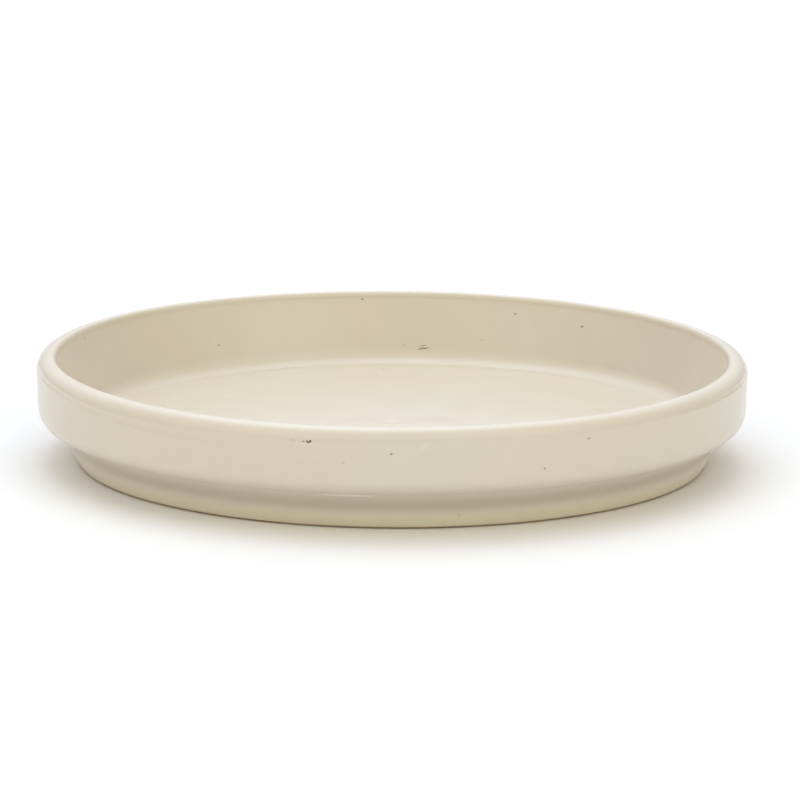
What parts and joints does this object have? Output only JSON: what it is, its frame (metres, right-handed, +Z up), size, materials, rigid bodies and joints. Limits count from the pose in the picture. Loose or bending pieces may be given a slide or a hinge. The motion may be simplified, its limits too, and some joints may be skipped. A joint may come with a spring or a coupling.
{
  "type": "bonsai tray",
  "caption": "Shallow round glazed stoneware bonsai tray with a thick rounded lip, an upright band, and a stepped-in foot with a bare ring under it.",
  "frame": {"origin": "centre of the foot ring's circle, on the surface that the tray stands on", "axes": "+Z up along the tray's axis of revolution; +X and +Y are any two square directions across it"},
  "size_m": [0.3, 0.3, 0.044],
  "materials": {
    "stoneware": "bare fired buff stoneware, matt and slightly gritty",
    "cream_glaze": "cream glaze, satin gloss, with a few pinholes and iron specks",
    "underside_glaze": "the same cream glaze, thinner, in the recess inside the foot ring"
  },
  "bodies": {
    "root": {"stoneware_body": "stoneware", "glaze_coat": "cream_glaze", "underside_glaze": "underside_glaze"}
  },
  "joints": []
}
